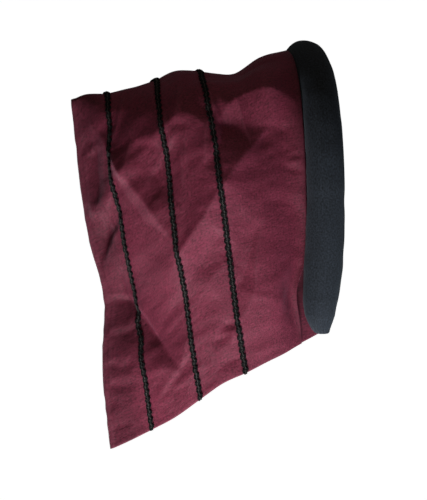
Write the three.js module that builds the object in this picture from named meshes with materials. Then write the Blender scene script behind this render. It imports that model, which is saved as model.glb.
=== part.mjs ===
// A hooded bonnet of thin cloth. A padded roll frames the face, a facing lies inside the roll,
// and three flat braids run over the crown from hem to hem. The back is closed by one seam.
// Millimetres, +Z up. The wearer faces -Y, and the wearer's left is +X. The origin is where the
// crown of the head touches the inside of the hood.
import * as THREE from "three";

const { lerp, clamp, degToRad } = THREE.MathUtils;

// Hood sizes
const hoodLength = 205; // along the crest, from the front edge to the back corner
const hoodDrop = 352; // from the crown down to the lowest corner of the hem
const hoodHalfWidth = 85; // from the middle of the hood to the cloth beside the temples
const clothThickness = 1.6;
const seamHalfWidth = 1; // half the ridge that the back seam makes
const seamDepth = 5; // how far that ridge reaches into the hood
const napeDent = 10; // how far the back seam is pushed in at the nape
const braidBow = 5; // how far a braid's middle bends towards the back
const crownBow = 5; // and how far it does so just under the crest
const foldHeight = 14; // rise of a full fold

// Roll sizes
const rollDiameter = 35;
const rollHalfWidth = 84; // from the middle of the hood to the middle of the roll
const rollEndHalfWidth = 79; // the same at the roll's two ends
const rollRise = 18; // middle of the roll above the crown, at the top of the arch
const rollShoulder = 128; // from the top of the arch down to its widest level
const rollEndLift = 9; // how far the roll's ends stop above the front hem
const rollBulge = 2.5; // how far the roll's sides come forward of its top
const rollSetBack = 7; // how far its ends then bend back

// Trim sizes
const braidWidth = 5.2;
const braidThickness = 1.5;
const braidWave = 0.6; // how far the braid swings to each side
const facingThickness = 1.4;
const facingLap = 0.035; // share of the hood's length that covers the facing's back edge
const facingTurn = degToRad(25); // each of its three steps round the roll
const facingSlant = 0.014; // how much higher its hem is at each step, as a share of the hoop
const edgeStandOff = 7; // how far the hood's edge stands back from the roll beside the jaw

// Clearances
const seatGap = 0.3; // between cloth and roll, and between two layers of cloth
const braidGap = 0.5; // between a braid and the cloth under it

// Mesh steps
const hoopSteps = 64; // from hem to hem over the crown, an even number
const panelSteps = [8, 4, 4, 4]; // in each panel between braids, front to back
const rollSides = 12;

// Cross-sections of the hood, from its front edge (along 0) to the back seam (along 1).
// Y values are shares of hoodLength, heights are shares of hoodDrop, and widths are shares of
// hoodHalfWidth. Each section is an arch from its crest to its hem: an oval crown of height
// `crown` and half width `upper`, then a side that swells by `swell` and ends with half width
// `hem`.
const sections = [
  {
    along: 0, crestY: -0.34, crestZ: 0.071, hemY: -0.36, hemZ: -0.713,
    crown: 0.384, upper: 0.99, swell: 0, hem: 0.76,
  },
  {
    along: 0.12, crestY: -0.22, crestZ: 0.05, hemY: -0.281, hemZ: -0.734,
    crown: 0.33, upper: 1, swell: 0, hem: 0.79,
  },
  {
    along: 0.25, crestY: -0.09, crestZ: 0.004, hemY: -0.195, hemZ: -0.756,
    crown: 0.27, upper: 1, swell: 0.01, hem: 0.82,
  },
  {
    along: 0.41, crestY: 0.072, crestZ: 0.008, hemY: -0.088, hemZ: -0.787,
    crown: 0.23, upper: 0.96, swell: 0.02, hem: 0.82,
  },
  {
    along: 0.52, crestY: 0.18, crestZ: 0.008, hemY: 0.015, hemZ: -0.815,
    crown: 0.21, upper: 0.87, swell: 0.02, hem: 0.77,
  },
  {
    along: 0.61, crestY: 0.27, crestZ: -0.015, hemY: 0.107, hemZ: -0.855,
    crown: 0.19, upper: 0.75, swell: 0.03, hem: 0.69,
  },
  {
    along: 0.73, crestY: 0.39, crestZ: -0.038, hemY: 0.215, hemZ: -0.906,
    crown: 0.16, upper: 0.54, swell: 0.05, hem: 0.53,
  },
  {
    along: 0.84, crestY: 0.5, crestZ: -0.052, hemY: 0.314, hemZ: -0.943,
    crown: 0.12, upper: 0.32, swell: 0.08, hem: 0.34,
  },
  {
    along: 0.93, crestY: 0.59, crestZ: -0.055, hemY: 0.405, hemZ: -0.976,
    crown: 0.07, upper: 0.13, swell: 0.07, hem: 0.15,
  },
  {
    along: 1, crestY: 0.66, crestZ: -0.071, hemY: 0.478, hemZ: -1,
    crown: 0.03, upper: 0, swell: 0, hem: 0,
  },
];

// The braids, front to back. Each line runs from the crest (down 0) to the hem (down 1).
const braids = [
  { name: "braid_front", line: [[0, 0.413], [1, 0.413]] },
  { name: "braid_middle", line: [[0, 0.612], [1, 0.612]] },
  {
    name: "braid_back",
    line: [
      [0, 0.838], [0.38, 0.84], [0.48, 0.856], [0.58, 0.876],
      [0.67, 0.868], [0.76, 0.832], [0.87, 0.824], [1, 0.828],
    ],
  },
];

// Folds and dents. Each follows a line of [along, down] places, `along` as above and `down` from
// crest (0) to hem (1). `rise` is a share of foldHeight, and a dent's is negative. `above` and
// `below` are its widths on each side at the line's two ends, as shares of hoodLength. `shape` is
// 1 for flat flanks and more for hollow ones. `taper` is the share of the line over which the
// fold narrows to a point at each end.
const folds = [
  // the large V, pressed in when the hood lay folded
  {
    line: [
      [0.9, 0.14], [0.84, 0.225], [0.722, 0.433], [0.619, 0.594],
      [0.5, 0.553], [0.385, 0.465], [0.271, 0.392], [0.144, 0.345],
    ],
    rise: 0.86, above: [0.25, 0.35], below: [0.22, 0.22], shape: 1.5, taper: [0.2, 0.22],
  },
  {
    line: [[0.408, 0.3], [0.28, 0.304], [0.144, 0.351], [0, 0.405]],
    rise: -0.64, above: [0.22, 0.21], below: [0.18, 0.46], shape: 1.2, taper: [0.12, 0],
  },
  // the crown, beside the roll
  {
    line: [[0.4, 0.28], [0.29, 0.18], [0.19, 0.192], [0, 0.275]],
    rise: 1, above: [0.2, 0.2], below: [0.2, 0.24], shape: 1.2, taper: [0.35, 0],
  },
  // the nape
  {
    line: [[1, 0.385], [0.948, 0.424], [0.91, 0.447]],
    rise: -0.57, above: [0.08, 0.08], below: [0.22, 0.22], shape: 1.3, taper: [0, 0.3],
  },
  // the lower arrow
  {
    line: [[1, 0.568], [0.922, 0.603], [0.848, 0.685], [0.751, 0.796], [0.671, 0.899]],
    rise: -0.71, above: [0.17, 0.24], below: [0.13, 0.1], shape: 1.4, taper: [0, 0.4],
  },
  // the soft folds beside the jaw
  {
    line: [[0.398, 0.768], [0.222, 0.821], [0, 0.915]],
    rise: 0.43, above: [0.41, 0.41], below: [0.2, 0.2], shape: 1.2, taper: [0.2, 0],
  },
  {
    line: [[0.405, 0.61], [0.5, 0.645], [0.61, 0.7]],
    rise: -0.3, above: [0.1, 0.1], below: [0.08, 0.08], shape: 1.3, taper: [0.4, 0.3],
  },
];
const farSideFolds = -0.6; // the far side was folded with this one, so its folds turn inwards

// Smooth reading of one column of the sections table.
function sectionAt(column, along) {
  const last = sections.length - 1;
  let i = 0;
  while (i < last - 1 && along > sections[i + 1].along) i += 1;
  const slope = (k) => {
    const before = sections[Math.max(k - 1, 0)];
    const after = sections[Math.min(k + 1, last)];
    return (after[column] - before[column]) / (after.along - before.along);
  };
  const from = sections[i];
  const to = sections[i + 1];
  const span = to.along - from.along;
  const s = clamp((along - from.along) / span, 0, 1);
  const s2 = s * s;
  const s3 = s2 * s;
  return (
    (2 * s3 - 3 * s2 + 1) * from[column] +
    (s3 - 2 * s2 + s) * span * slope(i) +
    (3 * s2 - 2 * s3) * to[column] +
    (s3 - s2) * span * slope(i + 1)
  );
}

const smooth = (s) => s * s * (3 - 2 * s);
const bell = (distance) => Math.exp(-distance * distance);
const quarterArc = (a, b) => (Math.PI / 2) * Math.sqrt((a * a + b * b) / 2);

// Splits a hoop of one crown arc and one straight side so that `down` follows its length.
function hoopPlace(down, halfWidth, crown, drop) {
  const arc = quarterArc(halfWidth, crown);
  const crownShare = arc / (arc + drop - crown);
  if (down < crownShare) {
    return { angle: (down / crownShare) * (Math.PI / 2), side: 0 };
  }
  return { angle: Math.PI / 2, side: (down - crownShare) / (1 - crownShare) };
}

// The roll's centre line, from the top of the arch (down 0) to the level of the front hem (1).
// It gives the half width, the height and the outward direction in the roll's plane.
const rollRadius = rollDiameter / 2;
const rollShoulderZ = rollRise - rollShoulder;
const frontHemZ = sections[0].hemZ * hoodDrop;
const rollLeg = rollShoulderZ - frontHemZ;
const edgeReach = rollRadius + seatGap + clothThickness / 2;
const edgeAngleTop = degToRad(22); // outward of straight back, round the roll
const edgeAngleHem = degToRad(-57);
const rollY = sections[0].crestY * hoodLength - edgeReach * Math.cos(edgeAngleTop);

function rollLine(down) {
  const drop = rollShoulder + rollLeg;
  const { angle, side } = hoopPlace(down, rollHalfWidth, rollShoulder, drop);
  const narrowing = rollEndHalfWidth - rollHalfWidth;
  const x = rollHalfWidth * Math.sin(angle) + narrowing * smooth(side);
  const z = rollShoulderZ + rollShoulder * Math.cos(angle) - rollLeg * side;
  const y = rollY - rollBulge * Math.sin(angle) + rollSetBack * side ** 2;
  const outX = rollShoulder * Math.sin(angle);
  const turnIn = narrowing * 6 * side * (1 - side) * (rollShoulder / rollLeg);
  const outZ = rollHalfWidth * Math.cos(angle) + turnIn;
  const out = new THREE.Vector3(outX, 0, outZ).normalize();
  return { centre: new THREE.Vector3(x, y, z), out };
}

// A point beside the roll: `angle` is outward of straight back, and `reach` is from its centre.
function besideRoll(down, angle, reach) {
  const { centre, out } = rollLine(down);
  centre.addScaledVector(out, reach * Math.sin(angle));
  centre.y += reach * Math.cos(angle);
  return centre;
}

// The hood's front edge lies against the back of the roll, and stands off it beside the jaw.
const standOffDown = 0.85;
const standOffLengths = { above: 0.075, below: 0.1 };

const edgeAngle = (down) => lerp(edgeAngleTop, edgeAngleHem, smooth(down));

function frontEdge(down) {
  const length = down < standOffDown ? standOffLengths.above : standOffLengths.below;
  const standOff = edgeStandOff * bell((down - standOffDown) / length);
  return besideRoll(down, edgeAngle(down), edgeReach).add(new THREE.Vector3(0, standOff, 0));
}

// The unfolded surface of the hood, on the wearer's left.
const crownBowShare = 0.1; // where the bow is greatest, as a share of the way to the hem
const napeDown = 0.57;
const napeLength = 0.14;
const edgeBlend = 0.24; // share of the hood over which it settles from its own arch to the edge

function archPoint(along, down) {
  const crestZ = sectionAt("crestZ", along) * hoodDrop;
  const drop = crestZ - sectionAt("hemZ", along) * hoodDrop;
  const crown = sectionAt("crown", along) * hoodDrop;
  const upper = seamHalfWidth + sectionAt("upper", along) * hoodHalfWidth;
  const hem = seamHalfWidth + sectionAt("hem", along) * hoodHalfWidth;
  const swell = sectionAt("swell", along) * hoodHalfWidth;
  const { angle, side } = hoopPlace(down, upper, crown, drop);
  const x = upper * Math.sin(angle) + (hem - upper) * smooth(side) + 16 * swell * (side * (1 - side)) ** 2;
  const fallen = crown * (1 - Math.cos(angle)) + (drop - crown) * side;
  const share = fallen / drop;
  const lean = lerp(sectionAt("crestY", along), sectionAt("hemY", along), share) * hoodLength;
  const nearCrest = (share / crownBowShare) * Math.exp(1 - share / crownBowShare);
  const bow = (braidBow * 4 * share * (1 - share) + crownBow * nearCrest) * Math.sin(Math.PI * along);
  const dent = napeDent * along ** 4 * bell((down - napeDown) / napeLength);
  return new THREE.Vector3(x, lean + bow - dent, crestZ - fallen);
}

function smoothPoint(along, down) {
  const point = archPoint(along, down);
  if (along < edgeBlend) {
    const shift = frontEdge(down).sub(archPoint(0, down));
    point.addScaledVector(shift, 1 - smooth(along / edgeBlend));
  }
  return point;
}

const onPanel = ([along, down]) => new THREE.Vector2(along * hoodLength, down * hoodDrop);

// Rise of one fold at one place of the panel. Where two parts of its line are about as near, their
// flanks meet softly. The higher a fold, the sooner it dies away towards the facing and the seam.
function riseOf(fold, along, down) {
  const place = onPanel([along, down]);
  const stops = fold.line.map(onPanel);
  const steps = stops.slice(1).map((stop, k) => stop.clone().sub(stops[k]));
  const total = steps.reduce((sum, step) => sum + step.length(), 0);
  let passed = 0;
  const parts = steps.map((step, k) => {
    const offset = place.clone().sub(stops[k]);
    const share = clamp(offset.dot(step) / step.lengthSq(), 0, 1);
    const distance = offset.distanceTo(step.clone().multiplyScalar(share));
    const lean = (offset.y * step.x - offset.x * step.y) * Math.sign(step.x) / step.length();
    const run = (passed + share * step.length()) / total;
    passed += step.length();
    return { distance, lean, run };
  });
  const nearest = parts.reduce((best, part) => (part.distance < best.distance ? part : best));
  // beyond a bend both parts are equally near, and their mean tells the side
  const isNearest = (part) => part.distance - nearest.distance < 1e-6;
  const isBelow = parts.filter(isNearest).reduce((sum, part) => sum + part.lean, 0) > 0;
  const ease = (nearest.distance + 1) / 9;
  let together = 0;
  let weights = 0;
  let run = 0;
  for (const part of parts) {
    const nearness = (nearest.distance - part.distance) / ease;
    together += Math.exp(nearness);
    weights += Math.exp(nearness / 3);
    run += Math.exp(nearness / 3) * part.run;
  }
  run /= weights;
  const distance = Math.max(nearest.distance - ease * Math.log(together), 0);
  const [taperIn, taperOut] = fold.taper;
  const startTaper = taperIn > 0 ? clamp(run / taperIn, 0, 1) : 1;
  const endTaper = taperOut > 0 ? clamp((1 - run) / taperOut, 0, 1) : 1;
  const ends = startTaper * endTaper;
  const [startWidth, endWidth] = isBelow ? fold.below : fold.above;
  const width = Math.max(lerp(startWidth, endWidth, run) * hoodLength * ends, 1e-6);
  const flank = Math.max(0, 1 - distance / width) ** fold.shape;
  const high = Math.abs(fold.rise);
  const atFront = smooth(clamp((along - facingLap) / (0.12 * high), 0, 1));
  const atBack = smooth(clamp((1 - along) / (0.03 + 0.056 * high), 0, 1));
  return fold.rise * foldHeight * ends * flank * atFront * atBack;
}

const foldRise = (along, down) => folds.reduce((sum, fold) => sum + riseOf(fold, along, down), 0);

// The middle of the cloth. `hoop` runs from the right hem (-1) over the crest (0) to the left (1).
function clothPoint(along, hoop) {
  const point = smoothPoint(along, Math.abs(hoop));
  if (hoop < 0) point.x = -point.x;
  return point;
}

function clothNormal(along, hoop) {
  const step = 1e-3;
  const alongFrom = clothPoint(Math.max(along - step, 0), hoop);
  const alongTo = clothPoint(Math.min(along + step, 1), hoop);
  const hoopFrom = clothPoint(along, Math.max(hoop - step, -1));
  const hoopTo = clothPoint(along, Math.min(hoop + step, 1));
  return hoopTo.sub(hoopFrom).cross(alongTo.sub(alongFrom)).normalize();
}

// Each braid lies in a strip of its own, where the stitching keeps the cloth level across.
const stripHalf = (braidWidth / 2 + braidWave + 0.4) / hoodLength;

// Where a braid's middle crosses one row of the cloth
function braidAlong(braid, down) {
  const last = braid.line.length - 1;
  let i = 0;
  while (i < last - 1 && down > braid.line[i + 1][0]) i += 1;
  const [fromDown, fromAlong] = braid.line[i];
  const [toDown, toAlong] = braid.line[i + 1];
  return lerp(fromAlong, toAlong, smooth(clamp((down - fromDown) / (toDown - fromDown), 0, 1)));
}

// A point of the folded cloth, `offset` outside its middle.
function skinPoint(along, hoop, offset) {
  const down = Math.abs(hoop);
  const middles = braids.map((braid) => braidAlong(braid, down));
  const held = middles.find((middle) => Math.abs(along - middle) < stripHalf * 1.01);
  const side = lerp(1, farSideFolds, smooth(clamp(hoop / 0.1 + 0.5, 0, 1)));
  const rise = foldRise(held ?? along, down) * side;
  return clothPoint(along, hoop).addScaledVector(clothNormal(along, hoop), rise + offset);
}

// Collects points and faces, and turns them into one closed geometry.
class FaceList {
  constructor() {
    this.points = [];
    this.index = [];
  }
  add(point) {
    this.points.push(point.x, point.y, point.z);
    return this.points.length / 3 - 1;
  }
  triangle(a, b, c) {
    this.index.push(a, b, c);
  }
  quad(a, b, c, d) {
    this.index.push(a, b, c, a, c, d);
  }
  geometry() {
    const made = new THREE.BufferGeometry();
    made.setAttribute("position", new THREE.Float32BufferAttribute(this.points, 3));
    made.setIndex(this.index);
    made.computeVertexNormals();
    return made;
  }
}

// Where the hood's mesh lines cross one row of the cloth
function alongLines(down) {
  const stops = braids.flatMap((braid) => {
    const middle = braidAlong(braid, down);
    return [middle - stripHalf, middle + stripHalf];
  });
  const lines = [0];
  panelSteps.forEach((steps, panel) => {
    const from = panel === 0 ? 0 : stops[2 * panel - 1];
    const to = panel === braids.length ? 1 : stops[2 * panel];
    if (panel > 0) lines.push(from);
    for (let k = 1; k <= steps; k += 1) lines.push(lerp(from, to, k / steps));
  });
  return lines;
}

const hoopAt = (row) => (2 * row) / hoopSteps - 1;

// The cloth shell: an outer and an inner skin, joined round the front edge and the hem, with
// each skin closed down the back.
function makeHood() {
  const faces = new FaceList();
  const rows = Array.from({ length: hoopSteps + 1 }, (_, row) => alongLines(Math.abs(hoopAt(row))));
  const last = rows[0].length - 1;
  const innerEnd = 1 - seamDepth / hoodLength;
  const skin = (offset, end) =>
    rows[0].map((_, line) =>
      rows.map((alongs, row) => faces.add(skinPoint(alongs[line] * end, hoopAt(row), offset))),
    );
  const outer = skin(clothThickness / 2, 1);
  const inner = skin(-clothThickness / 2, innerEnd);
  for (let k = 0; k < last; k += 1) {
    for (let row = 0; row < hoopSteps; row += 1) {
      faces.quad(outer[k][row], outer[k][row + 1], outer[k + 1][row + 1], outer[k + 1][row]);
      faces.quad(inner[k][row], inner[k + 1][row], inner[k + 1][row + 1], inner[k][row + 1]);
    }
    faces.quad(outer[k][0], outer[k + 1][0], inner[k + 1][0], inner[k][0]);
    faces.quad(outer[k][hoopSteps], inner[k][hoopSteps], inner[k + 1][hoopSteps], outer[k + 1][hoopSteps]);
  }
  for (let row = 0; row < hoopSteps; row += 1) {
    faces.quad(outer[0][row], inner[0][row], inner[0][row + 1], outer[0][row + 1]);
  }
  const half = hoopSteps / 2;
  const outerBack = outer[last];
  const innerBack = inner[last];
  for (let row = 0; row < half - 1; row += 1) {
    const other = hoopSteps - row;
    faces.quad(outerBack[row], outerBack[row + 1], outerBack[other - 1], outerBack[other]);
    faces.quad(innerBack[row], innerBack[other], innerBack[other - 1], innerBack[row + 1]);
  }
  faces.triangle(outerBack[half - 1], outerBack[half], outerBack[half + 1]);
  faces.triangle(innerBack[half - 1], innerBack[half + 1], innerBack[half]);
  faces.quad(outerBack[0], outerBack[hoopSteps], innerBack[hoopSteps], innerBack[0]);
  return faces.geometry();
}

// A closed tube through rings of equal size, with a flat cap at each end.
function tubeOf(rings) {
  const faces = new FaceList();
  const sides = rings[0].length;
  const rows = rings.map((ring) => ring.map((point) => faces.add(point)));
  for (let k = 0; k < rows.length - 1; k += 1) {
    for (let s = 0; s < sides; s += 1) {
      const next = (s + 1) % sides;
      faces.quad(rows[k][s], rows[k + 1][s], rows[k + 1][next], rows[k][next]);
    }
  }
  const cap = (row, ring, turned) => {
    const middle = new THREE.Vector3();
    ring.forEach((point) => middle.add(point));
    const centre = faces.add(middle.divideScalar(sides));
    for (let s = 0; s < sides; s += 1) {
      const next = (s + 1) % sides;
      if (turned) faces.triangle(centre, row[next], row[s]);
      else faces.triangle(centre, row[s], row[next]);
    }
  };
  cap(rows[0], rings[0], false);
  cap(rows[rows.length - 1], rings[rings.length - 1], true);
  return faces.geometry();
}

const mirrored = (point, hoop) => (hoop < 0 ? new THREE.Vector3(-point.x, point.y, point.z) : point);

// The padded roll, gathered in at its two ends. Its rings lie beside the rows of the hood's mesh.
const rollEnds = [
  { fromEnd: 0, girth: 0.25 },
  { fromEnd: 1.5, girth: 0.42 },
  { fromEnd: 5, girth: 0.6 },
  { fromEnd: 12, girth: 0.79 },
  { fromEnd: 30, girth: 0.94 },
  { fromEnd: 60, girth: 1 },
];
const rollHoopLength = quarterArc(rollHalfWidth, rollShoulder) + rollLeg;
const rollEndDown = 1 - rollEndLift / rollHoopLength;

function rollGirth(fromEnd) {
  const next = rollEnds.findIndex((row) => row.fromEnd > fromEnd);
  if (next < 0) return 1;
  const from = rollEnds[next - 1];
  const to = rollEnds[next];
  return lerp(from.girth, to.girth, (fromEnd - from.fromEnd) / (to.fromEnd - from.fromEnd));
}

function makeRoll() {
  const gathers = [0, 1.5, 5, 12].map((fromEnd) => rollEndDown - fromEnd / rollHoopLength);
  const rows = Array.from({ length: hoopSteps + 1 }, (_, row) => hoopAt(row));
  const body = rows.filter((hoop) => Math.abs(hoop) < gathers[3] - 0.01);
  const places = [...gathers.map((down) => -down), ...body, ...gathers.reverse()];
  const rings = places.map((place) => {
    const down = Math.abs(place);
    const radius = rollRadius * rollGirth((rollEndDown - down) * rollHoopLength);
    return Array.from({ length: rollSides }, (_, side) => {
      const angle = (-2 * Math.PI * side) / rollSides;
      return mirrored(besideRoll(down, angle, radius), place);
    });
  });
  return tubeOf(rings);
}

// The facing: from under the hood's front edge round the inner side of the roll.
function makeFacing() {
  const lapDepth = clothThickness / 2 + 3 * seatGap + facingThickness / 2;
  const reach = (rollRadius + seatGap + facingThickness / 2) / Math.cos(facingTurn / 2);
  const line = (hoop, towardsRoll) => {
    const down = Math.abs(hoop);
    const beside = [1, 2, 3].map((k) => {
      const raised = down - k * facingSlant * down ** 12;
      return mirrored(besideRoll(raised, edgeAngle(down) - k * facingTurn, reach - towardsRoll), hoop);
    });
    return [skinPoint(facingLap, hoop, towardsRoll - lapDepth), ...beside];
  };
  const rings = Array.from({ length: hoopSteps + 1 }, (_, row) => {
    const rollSide = line(hoopAt(row), facingThickness / 2);
    const faceSide = line(hoopAt(row), -facingThickness / 2);
    return [...faceSide, ...rollSide.reverse()];
  });
  return tubeOf(rings);
}

// One braid: a flat band that swings from side to side in its strip of the hood. Each of its
// points is placed over the flat triangles of that strip, so the two never meet.
function makeBraid(braid) {
  const strip = 2 * stripHalf * hoodLength;
  const corner = (side, row) => {
    const middle = braidAlong(braid, Math.abs(hoopAt(row)));
    return skinPoint(middle + side * stripHalf, hoopAt(row), clothThickness / 2);
  };
  const overStrip = (across, row) => {
    const whole = Math.min(Math.floor(row), hoopSteps - 1);
    const part = row - whole;
    const near = corner(-1, whole);
    const far = corner(1, whole + 1);
    const isNear = part >= across;
    const third = isNear ? corner(-1, whole + 1) : corner(1, whole);
    const [nearShare, farShare, thirdShare] = isNear
      ? [1 - part, across, part - across]
      : [1 - across, part, across - part];
    near.multiplyScalar(nearShare).addScaledVector(far, farShare);
    return near.addScaledVector(third, thirdShare);
  };
  const rings = Array.from({ length: 2 * hoopSteps + 1 }, (_, step) => {
    const row = step / 2;
    const swing = step % 2 === 0 ? braidWave : -braidWave;
    const width = corner(1, row).sub(corner(-1, row));
    const run = corner(0, Math.min(row + 0.5, hoopSteps)).sub(corner(0, Math.max(row - 0.5, 0)));
    const normal = run.cross(width).normalize();
    const across = [-1, 1].map((side) => 0.5 + (side * (braidWidth / 2) + swing) / strip);
    const lower = across.map((share) => overStrip(share, row).addScaledVector(normal, braidGap));
    const upper = lower.map((point) => point.clone().addScaledVector(normal, braidThickness));
    return [lower[0], upper[0], upper[1], lower[1]];
  });
  return tubeOf(rings);
}

const burgundyCloth = new THREE.MeshStandardMaterial({ color: 0x6b2438, roughness: 0.62, metalness: 0 });
const blackFelt = new THREE.MeshStandardMaterial({ color: 0x16191d, roughness: 0.9, metalness: 0 });
const blackBraid = new THREE.MeshStandardMaterial({ color: 0x101213, roughness: 0.55, metalness: 0 });

function named(name, geometry, material) {
  const mesh = new THREE.Mesh(geometry, material);
  mesh.name = name;
  return mesh;
}

const bonnet = new THREE.Group();
bonnet.add(named("hood", makeHood(), burgundyCloth));
bonnet.add(named("facing", makeFacing(), burgundyCloth));
bonnet.add(named("padded_roll", makeRoll(), blackFelt));
for (const braid of braids) bonnet.add(named(braid.name, makeBraid(braid), blackBraid));

export default bonnet;
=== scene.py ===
import math

import bpy
import numpy as np
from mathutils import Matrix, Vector


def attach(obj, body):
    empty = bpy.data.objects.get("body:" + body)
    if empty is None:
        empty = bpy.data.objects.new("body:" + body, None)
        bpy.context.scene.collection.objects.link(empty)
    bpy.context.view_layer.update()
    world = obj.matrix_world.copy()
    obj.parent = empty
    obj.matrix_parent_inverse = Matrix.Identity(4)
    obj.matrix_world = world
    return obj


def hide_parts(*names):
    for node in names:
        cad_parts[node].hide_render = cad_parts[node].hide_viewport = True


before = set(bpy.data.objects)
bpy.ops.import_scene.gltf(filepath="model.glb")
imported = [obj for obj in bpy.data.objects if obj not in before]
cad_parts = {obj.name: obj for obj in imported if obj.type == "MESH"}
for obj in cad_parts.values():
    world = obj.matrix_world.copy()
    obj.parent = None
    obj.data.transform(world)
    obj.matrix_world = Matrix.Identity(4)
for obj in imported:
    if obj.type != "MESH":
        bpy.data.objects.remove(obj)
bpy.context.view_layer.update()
print("frame loaded")

# All shapes are worked out in millimetres, in the frame of the CAD, and turned into metres last.
millimetre = 0.001


# Cut of the hood

hood = {
    "length": 205,  # along the crest, from the front edge to the back corner
    "drop": 352,  # from the crown down to the lowest corner of the hem
    "halfWidth": 85,
    "thickness": 1.6,
    "seamHalfWidth": 1,
    "seamDepth": 5,  # from the outside of the back seam to its inside
    "hemStitch": 5.4,  # from the hem to its line of stitches
    "seamStitch": 4.5,
    "napeDent": 10,  # how far the back seam sinks in above the nape
    "braidBow": 5,  # forward bow of each arch halfway down
    "crownBow": 5,  # and just under the crest
    "edgeBlend": 0.24,  # share of the length over which the hood eases onto the roll
    "alongSteps": 150,  # front to back
    "downSteps": 148,  # crest to hem
    "rimRound": 0.45,  # how far the cut edge bulges
    "hemFine": 14,  # width of the finely meshed band along the hem
    "hemFineSteps": 18,
    "paintedBackShade": 0.3,  # painted shade: how much darker the back panel behind the back braid is painted, where it turns away from the light
    # painted shade: how much darker the inside skin and the facing are painted
    "paintedInsideShade": 0.85,
    "farFolds": -0.6,  # the far side was folded with the near one, so its folds turn inwards
    "flat": (0.30, 0.80),  # the piece it was cut from, folded over the crown
    "flatArea": 0.167,
}

sideReach = hood["drop"] * 0.9  # run of the cloth from the crest to the hem

# Arches of the hood from the front edge (along 0) to the back seam (along 1): where the crest
# and the hem are, as shares of the length and the drop, then height of the crown, half width
# above, swell of the side and half width at the hem.
arches = {
    "along": [0, 0.12, 0.25, 0.41, 0.52, 0.61, 0.73, 0.84, 0.93, 1],
    "crestY": [-0.34, -0.22, -0.09, 0.072, 0.18, 0.27, 0.39, 0.5, 0.59, 0.66],
    "crestZ": [0.071, 0.05, 0.004, 0.008, 0.008, -0.015, -0.038, -0.052, -0.055, -0.071],
    "hemY": [-0.36, -0.281, -0.195, -0.088, 0.015, 0.107, 0.215, 0.314, 0.405, 0.478],
    "hemZ": [-0.713, -0.734, -0.756, -0.787, -0.815, -0.855, -0.906, -0.943, -0.976, -1],
    "crown": [0.384, 0.33, 0.27, 0.23, 0.21, 0.19, 0.16, 0.12, 0.07, 0.03],
    "upper": [0.99, 1, 1, 0.96, 0.87, 0.75, 0.54, 0.32, 0.13, 0],
    "swell": [0, 0, 0.01, 0.02, 0.02, 0.03, 0.05, 0.08, 0.07, 0],
    "hem": [0.76, 0.79, 0.82, 0.82, 0.77, 0.69, 0.53, 0.34, 0.15, 0],
}

roll = {
    "diameter": 35,
    "halfWidth": 84,  # of its middle line
    "endHalfWidth": 79,
    "rise": 18,  # top of the middle line over the crown
    "shoulder": 128,  # height of the arch over its straight legs
    "endLift": 9,  # how far each end stops short of the hem
    "bulge": 2.5,  # forward bow of the sides
    "setBack": 7,  # how far the lower ends lie back
    "rings": 520,
    "sides": 56,
    "lumps": 0.5,  # height of the wadding's lumps
    "pleats": 15,  # gathers at each end
    "gatherReach": 9,
    "gatherDepth": 2.4,
    "seamAngle": 250,
    "seamSink": 0.9,
    # distances from the end, and the girth there as a share of the full girth
    "endShape": ([0, 0.4, 1.2, 3, 7, 12, 17, 22, 31, 45, 60],
                 [0.18, 0.3, 0.36, 0.42, 0.55, 0.68, 0.785, 0.84, 0.92, 0.97, 1]),
    "lean": 4,  # how far each gathered end leans forwards
    "fill": 0.85,
}

facing = {
    "thickness": 1.4,
    "lap": 0.035,  # how far it reaches back inside the hood, as a share of the length
    "turn": 25,  # degrees of each of its three steps round the roll
    "slant": 0.014,  # how much each step rises at the hem
    "rows": 300,
    "columns": 13,
    "flat": (0.032, 0.62),
}

# Where the hood's front edge meets the roll. Its angles are in degrees, outward of straight back.
edge = {
    "standOff": 10,  # how far the edge stands off the roll beside the jaw
    "seatGap": 0.3,
    "topAngle": 22,
    "hemAngle": -57,
    "curl": 4,  # how far the hood's front edge has rolled outwards beside the jaw
    "paintedRollShade": 0.45,  # painted shade: how much darker the cloth is painted beside the roll, where the roll shades it
}

braid = {
    # where each lies from crest to hem, as (down, along)
    "lines": {
        "front": [(0, 0.413), (1, 0.413)],
        "middle": [(0, 0.612), (1, 0.612)],
        "back": [(0, 0.838), (0.38, 0.84), (0.48, 0.856), (0.58, 0.878), (0.68, 0.878), (0.76, 0.848),
                 (0.87, 0.832), (1, 0.833)],
    },
    "gap": 0.35,  # between the cloth and the lowest strand
    "halfWidth": 2.6,
    "step": 1.0,  # length of each ring
    "sides": 10,  # of each strand
    "scallop": 6.4,  # length of one scallop
    "overhang": 1.2,  # how far the cut ends pass the hem
}


def smooth(s):
    return s * s * (3 - 2 * s)


def bell(s):
    return np.exp(-s * s)


def mixed(a, b, share):
    return a + (b - a) * share


def unit(vectors):
    return vectors / np.linalg.norm(vectors, axis=-1, keepdims=True)


# Smooth noise on a lattice of one unit, from -1 to 1.
def softNoise(u, v, seed):
    grid = np.random.default_rng(seed).uniform(-1, 1, (97, 97))
    i = np.floor(u).astype(int)
    j = np.floor(v).astype(int)
    s = smooth(u - i)
    t = smooth(v - j)
    near = mixed(grid[i % 97, j % 97], grid[(i + 1) % 97, j % 97], s)
    far = mixed(grid[i % 97, (j + 1) % 97], grid[(i + 1) % 97, (j + 1) % 97], s)
    return mixed(near, far, t)


# Smooth reading of one row of the arches.
def archAt(name, along):
    at = np.array(arches["along"], float)
    value = np.array(arches[name], float)
    last = len(at) - 1
    before = np.maximum(np.arange(last + 1) - 1, 0)
    after = np.minimum(np.arange(last + 1) + 1, last)
    slope = (value[after] - value[before]) / (at[after] - at[before])
    i = np.clip(np.searchsorted(at, along) - 1, 0, last - 1)
    span = at[i + 1] - at[i]
    s = np.clip((along - at[i]) / span, 0, 1)
    rise = smooth(s)
    fromSlope = s * (1 - s) ** 2 * span * slope[i]
    toSlope = s * s * (s - 1) * span * slope[i + 1]
    return mixed(value[i], value[i + 1], rise) + fromSlope + toSlope


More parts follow.
